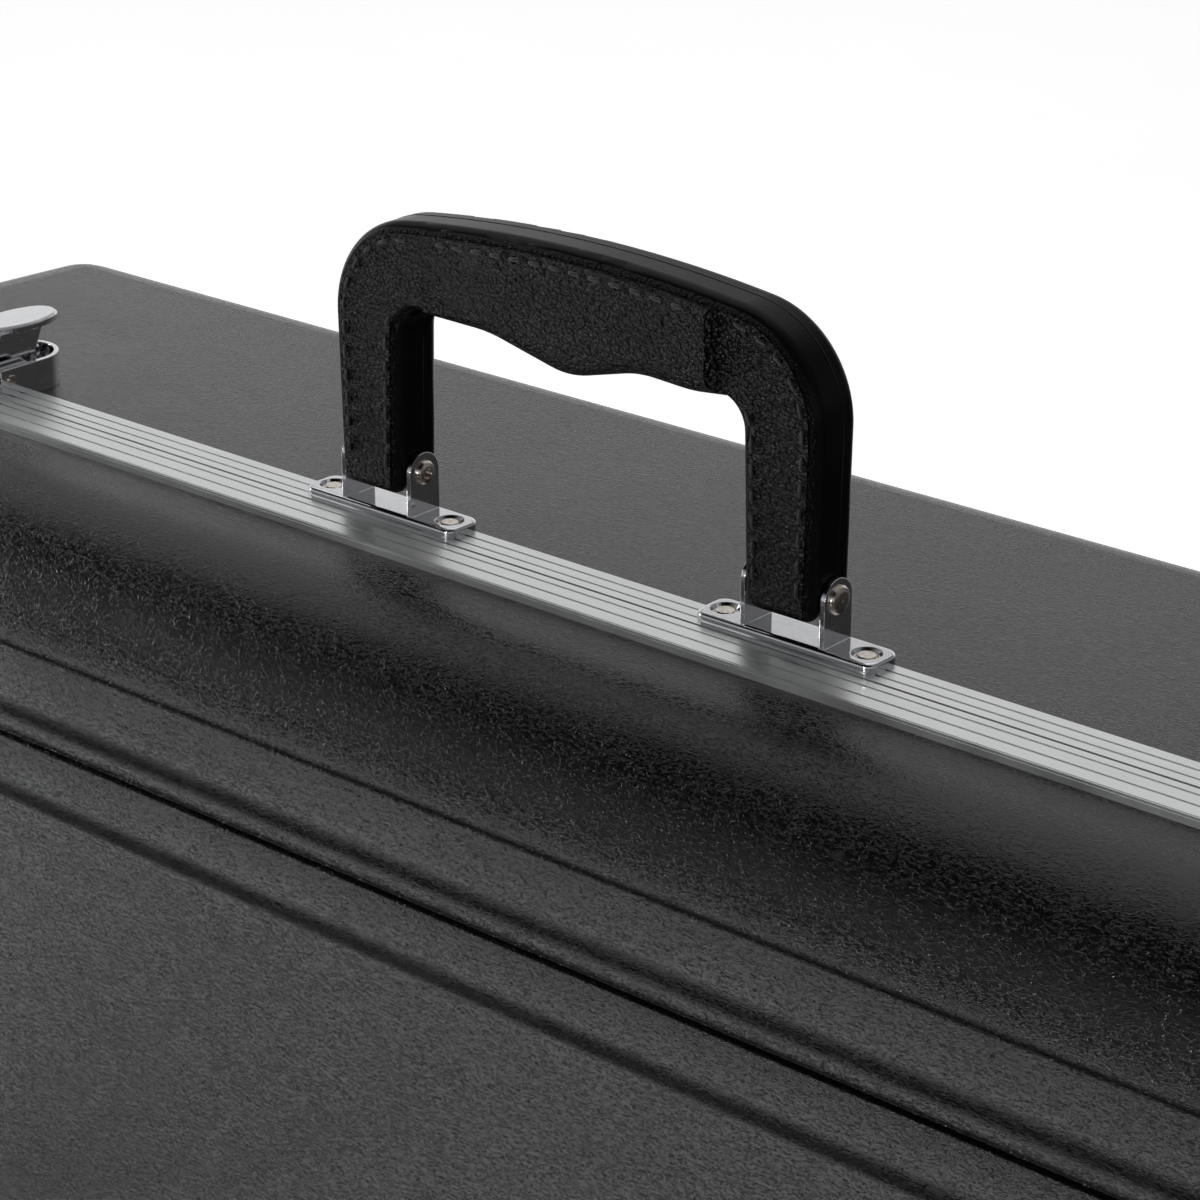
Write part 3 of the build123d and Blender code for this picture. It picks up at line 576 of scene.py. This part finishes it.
def handle_surface():
    """A search tree over the handle's front and back faces."""
    joined = bmesh.new()
    for name in ("handle_body", "handle_inserts", "handle_grip"):
        joined.from_mesh(nodes[name].data)
    tree = BVHTree.FromBMesh(joined)
    joined.free()
    return tree


def add_stitch(mesh, middle, along, out):
    """One thread stitch: a short round bar whose ends dive into the leather."""
    across = out.cross(along).normalized()
    loops = []
    for i in range(STITCH_RINGS + 1):
        share = 2 * i / STITCH_RINGS - 1
        radius = STITCH_RADIUS * math.sqrt(max(1 - share ** 4, 0.02))
        lift = STITCH_RADIUS * (0.25 - 0.75 * share ** 2)
        centre = middle + (along * share * STITCH_LENGTH / 2 + out * lift) * MM
        loop = []
        for k in range(ROUND_SIDES):
            turn = 2 * math.pi * k / ROUND_SIDES
            spoke = across * math.cos(turn) + out * math.sin(turn)
            loop.append(mesh.verts.new(centre + spoke * radius * MM))
        loops.append(loop)
    skin(mesh, loops)


def handle_stitching():
    """Rows of stitches inside the outline of both faces and along the inner edges of the legs."""
    outer = handle_outline(OUTER_ROW)
    left, right = GRIP_ENDS
    rows = [[p for p in outer if p.x < left - 0.8 and p.y > OUTER_ROW_FOOT],
            [p for p in outer if left + 1.2 < p.x < right - 4.5],
            [p for p in outer if p.x > right + 0.8 and p.y > OUTER_ROW_FOOT]]
    inner = [p for p in opening_leg(INNER_ROW) if p.y > INNER_ROW_FOOT]
    rows += [inner, [Vector((-p.x, p.y)) for p in inner]]
    tree = handle_surface()
    mesh = bmesh.new()
    for row in rows:
        for here, along in spaced(row, STITCH_PITCH):
            for side in (-1, 1):
                eye = on_handle(here, side * 30)
                hit, normal, _, _ = tree.ray_cast(eye, Vector((0, -side, 0)))
                if hit is None:
                    continue
                out = normal if normal.y * side > 0 else -normal
                run = Vector((along.x, 0, along.y))
                run = (run - out * run.dot(out)).normalized()
                add_stitch(mesh, hit, run, out)
    finished("handle_stitching", mesh, "handle", "thread")


def swept_ridge(mesh, path):
    """A thin round ridge along a path, a little proud of the surface on the path's left side."""
    loops = []
    for i, point in enumerate(path):
        ahead, behind = path[min(i + 1, len(path) - 1)], path[max(i - 1, 0)]
        along = (ahead - behind).normalized()
        out = Vector((-along.y, along.x))
        centre = point + out * (LINE_PROUD - LINE_RADIUS)
        loop = []
        for k in range(ROUND_SIDES):
            turn = 2 * math.pi * k / ROUND_SIDES
            spot = centre + out * LINE_RADIUS * math.sin(turn)
            loop.append(mesh.verts.new(on_handle(spot, LINE_SIDE + LINE_RADIUS * math.cos(turn))))
        loops.append(loop)
    skin(mesh, loops)


def moulding_line():
    """The parting line left by the mould, over the outer sides and top and up the legs' inner sides."""
    mesh = bmesh.new()
    swept_ridge(mesh, [p for p in handle_outline(0.0) if p.y > LINE_FOOT])
    inner = [p for p in opening_leg(0.0) if LINE_FOOT < p.y < LINE_TOP]
    for path in (list(reversed(inner)), [Vector((-p.x, p.y)) for p in inner]):
        swept_ridge(mesh, path)
    finished("handle_moulding_line", mesh, "handle", "handle_plastic")


lid_moulding()
handle_stitching()
moulding_line()


# ---- feet: screws in their recesses ----

FOOT_RADIUS, FOOT_RECESS_TOP = 11.0, 4.5
SCREW_RADIUS, SCREW_HEAD, SCREW_SIDES = 3.7, 2.0, 48
CROSS_REACH, SLOT_HALF, SLOT_DEPTH = 0.53, 0.45, 1.1
# Share of the radius and of the head's height, from the rim to the middle
SCREW_PROFILE = ((1.0, 0.0), (0.97, 0.45), (0.86, 0.75), (0.66, 0.93), (0.56, 0.97), (0.5, 0.98),
                 (0.42, 0.99), (0.34, 1.0), (0.26, 1.0), (0.18, 1.0), (0.1, 1.0))


def foot_screws():
    """A cross-head pan screw up inside each foot's recess."""
    low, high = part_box("feet")
    reach_x = (high.x - low.x) / 2 / MM - FOOT_RADIUS
    middle_y = (low.y + high.y) / 2 / MM
    reach_y = (high.y - low.y) / 2 / MM - FOOT_RADIUS
    mesh = bmesh.new()
    for x in (-reach_x, reach_x):
        for y in (middle_y - reach_y, middle_y + reach_y):
            add_screw(mesh, x, y)
    finished("foot_screws", mesh, "base", "rivet_metal")


def add_screw(mesh, x, y):
    """Rings from the rim of the head to its middle; the middle ones sink into a cross."""
    loops = []
    for share, height in SCREW_PROFILE:
        loop = []
        for k in range(SCREW_SIDES):
            turn = 2 * math.pi * k / SCREW_SIDES
            dx, dy = SCREW_RADIUS * share * math.cos(turn), SCREW_RADIUS * share * math.sin(turn)
            in_cross = share < CROSS_REACH and min(abs(dx), abs(dy)) < SLOT_HALF
            sunk = SLOT_DEPTH * (1 - share) if in_cross else 0.0
            z = FOOT_RECESS_TOP - SCREW_HEAD * height + sunk
            loop.append(mesh.verts.new(Vector((x + dx, y + dy, z)) * MM))
        loops.append(loop)
    skin(mesh, loops)


foot_screws()


# ---- stage, light, camera ----

LENS, SENSOR, CLIP_START = 96.85, 36.0, 0.02
CAMERA_PLACE = (0.4431, -0.5343, 0.5726)
CAMERA_AZIMUTH, CAMERA_ELEVATION, CAMERA_ROLL = math.radians(40.854), math.radians(22.445), 0.00339
LAMP_TARGET = Vector((0, 0, 0.2))
CAMERA_GLOW = 0.62


def stage_profile():
    """Points (y, z) in millimetres over the table, round its edge, and down to the lower floor in front."""
    edge, drop, reach, fillet, foot = -26.0, 130.0, 9000.0, 8.0, 40.0
    profile = [(reach, 0.0)]
    for step in range(7):
        turn = math.radians(15 * step)
        profile.append((edge + fillet - fillet * math.sin(turn), -fillet + fillet * math.cos(turn)))
    for step in range(7):
        turn = math.radians(15 * step)
        profile.append((edge - foot + foot * math.cos(turn), -drop + foot - foot * math.sin(turn)))
    return profile + [(-reach, -drop)]


def stage_white():
    """White to the lamps and the camera; in reflections it is black but for two patches of painted glow, a
    painted reflection in the case.
    """
    made, g, shader = new_material("stage_white", Roughness=0.9, Specular_IOR_Level=0.1)
    mottle = g.noise(g.millimetres(), 0.01, detail=2.0)
    g.link(g.colours(mottle, (0.3, grey(0.80)), (0.7, grey(0.82))), shader.inputs["Base Color"])
    split = g.node("ShaderNodeSeparateXYZ")
    g.link(g.node("ShaderNodeTexCoord").outputs["Object"], split.inputs[0])
    x, y = split.outputs["X"], split.outputs["Y"]
    # painted reflection: two patches of the floor, one in front of the case and one behind it, glow to
    # glossy rays only
    near = g.remap(y, -0.20, -0.38, 0.0, 1.7, smooth=True)
    far = g.remap(y, -0.70, -0.90, 1.0, 0.06, smooth=True)
    front = g.math("MULTIPLY", g.math("MULTIPLY", near, far), g.remap(x, 0.15, 0.5, 1.0, 0.1))
    rear = g.math("MULTIPLY", g.remap(y, 0.25, 0.5, 0.0, 1.0, smooth=True),
                  g.remap(x, -0.3, 0.3, 0.8, 0.08))
    path = g.node("ShaderNodeLightPath")
    reflected = g.math("MULTIPLY", g.math("ADD", front, rear), path.outputs["Is Glossy Ray"])
    direct = g.math("MULTIPLY", path.outputs["Is Camera Ray"], CAMERA_GLOW)
    glow = g.node("ShaderNodeEmission")
    g.link(g.math("ADD", direct, reflected), glow.inputs["Strength"])
    # painted shade in reflections: glossy rays see no diffuse floor, only the painted glow patches
    dim = g.node("ShaderNodeMixShader")
    g.link(path.outputs["Is Glossy Ray"], dim.inputs["Fac"])
    g.link(shader.outputs[0], dim.inputs[1])
    both = g.node("ShaderNodeAddShader")
    g.link(dim.outputs[0], both.inputs[0])
    g.link(glow.outputs[0], both.inputs[1])
    g.link(both.outputs[0], g.tree.nodes["Material Output"].inputs["Surface"])
    return made


def stage_floor():
    """A pale table whose edge runs under the case, with a lower floor so that the lid can swing down."""
    profile = stage_profile()
    reach = profile[0][0]
    mesh = bpy.data.meshes.new("stage_floor")
    points = [(side * reach * MM, y * MM, z * MM) for y, z in profile for side in (-1, 1)]
    faces = [(2 * i, 2 * i + 1, 2 * i + 3, 2 * i + 2) for i in range(len(profile) - 1)]
    mesh.from_pydata(points, [], faces)
    mesh.shade_smooth()
    floor = bpy.data.objects.new("stage_floor", mesh)
    bpy.context.scene.collection.objects.link(floor)
    mesh.materials.append(stage_white())


def studio_world():
    """White seen directly. Mirrored: pale behind and dimmer to the right, and darker upwards in front."""
    world = bpy.data.worlds.new("studio")
    bpy.context.scene.world = world
    world.use_nodes = True
    g = Graph(world.node_tree)
    back = world.node_tree.nodes["Background"]
    place = g.node("ShaderNodeTexCoord")
    split = g.node("ShaderNodeSeparateXYZ")
    g.link(place.outputs["Generated"], split.inputs[0])
    x, y, z = (split.outputs[axis] for axis in "XYZ")
    behind = g.remap(y, -0.20, -0.12, 0.0, 1.0, smooth=True)
    low_box = g.remap(z, 0.28, 0.44, 0.78, 0.48, smooth=True)
    high_box = g.remap(z, 0.55, 0.72, 0.0, 0.35, smooth=True)
    rear = g.math("MULTIPLY", g.math("ADD", low_box, high_box),
                  g.remap(x, -0.15, 0.45, 1.0, 0.25, smooth=True))
    front = g.remap(z, 0.06, 0.50, 0.50, 0.0)
    level = g.math("ADD", g.math("MULTIPLY", behind, rear),
                   g.math("MULTIPLY", g.math("SUBTRACT", 1.0, behind), front))
    path = g.node("ShaderNodeLightPath")
    g.link(g.math("MAXIMUM", level, path.outputs["Is Camera Ray"]), back.inputs["Strength"])
    back.inputs["Color"].default_value = (1, 1, 1, 1)


def soft_box(name, direction, distance, side, level, reflected=True):
    """A square lamp that shows that radiance, aimed at the middle of the case."""
    lamp = bpy.data.lights.new(name, "AREA")
    lamp.shape = "RECTANGLE"
    lamp.size = lamp.size_y = side
    lamp.energy = level * math.pi * side * side
    made = bpy.data.objects.new(name, lamp)
    made.visible_glossy = reflected
    bpy.context.scene.collection.objects.link(made)
    aim = Vector(direction).normalized()
    made.location = LAMP_TARGET + aim * distance
    made.rotation_mode = "QUATERNION"
    made.rotation_quaternion = aim.to_track_quat("Z", "Y")
    return made


def photo_camera():
    """The camera fitted to the photograph."""
    right = Vector((math.cos(CAMERA_AZIMUTH), math.sin(CAMERA_AZIMUTH), 0))
    heading = Vector((-math.sin(CAMERA_AZIMUTH), math.cos(CAMERA_AZIMUTH), 0))
    ahead = heading * math.cos(CAMERA_ELEVATION) - Vector((0, 0, math.sin(CAMERA_ELEVATION)))
    up = right.cross(ahead)
    across = (right - CAMERA_ROLL * up).normalized()
    above = (up + CAMERA_ROLL * right).normalized()
    data = bpy.data.cameras.new("photo_camera")
    data.sensor_width = SENSOR
    data.lens = LENS
    data.clip_start = CLIP_START
    camera = bpy.data.objects.new("photo_camera", data)
    bpy.context.scene.collection.objects.link(camera)
    turn = Matrix((across, above, -ahead)).transposed().to_4x4()
    camera.matrix_world = Matrix.Translation(CAMERA_PLACE) @ turn
    bpy.context.scene.camera = camera


stage_floor()
studio_world()
soft_box("top_box", (-0.15, 0.25, 0.96), 2.4, 1.5, 1.6, reflected=False)
soft_box("front_box", (0.204, -0.967, 0.138), 2.4, 0.35, 45.0)
soft_box("side_box", (-0.92, -0.36, 0.15), 2.2, 0.35, 12.0)
photo_camera()

bpy.context.scene.view_settings.view_transform = "Standard"

bpy.context.view_layer.update()
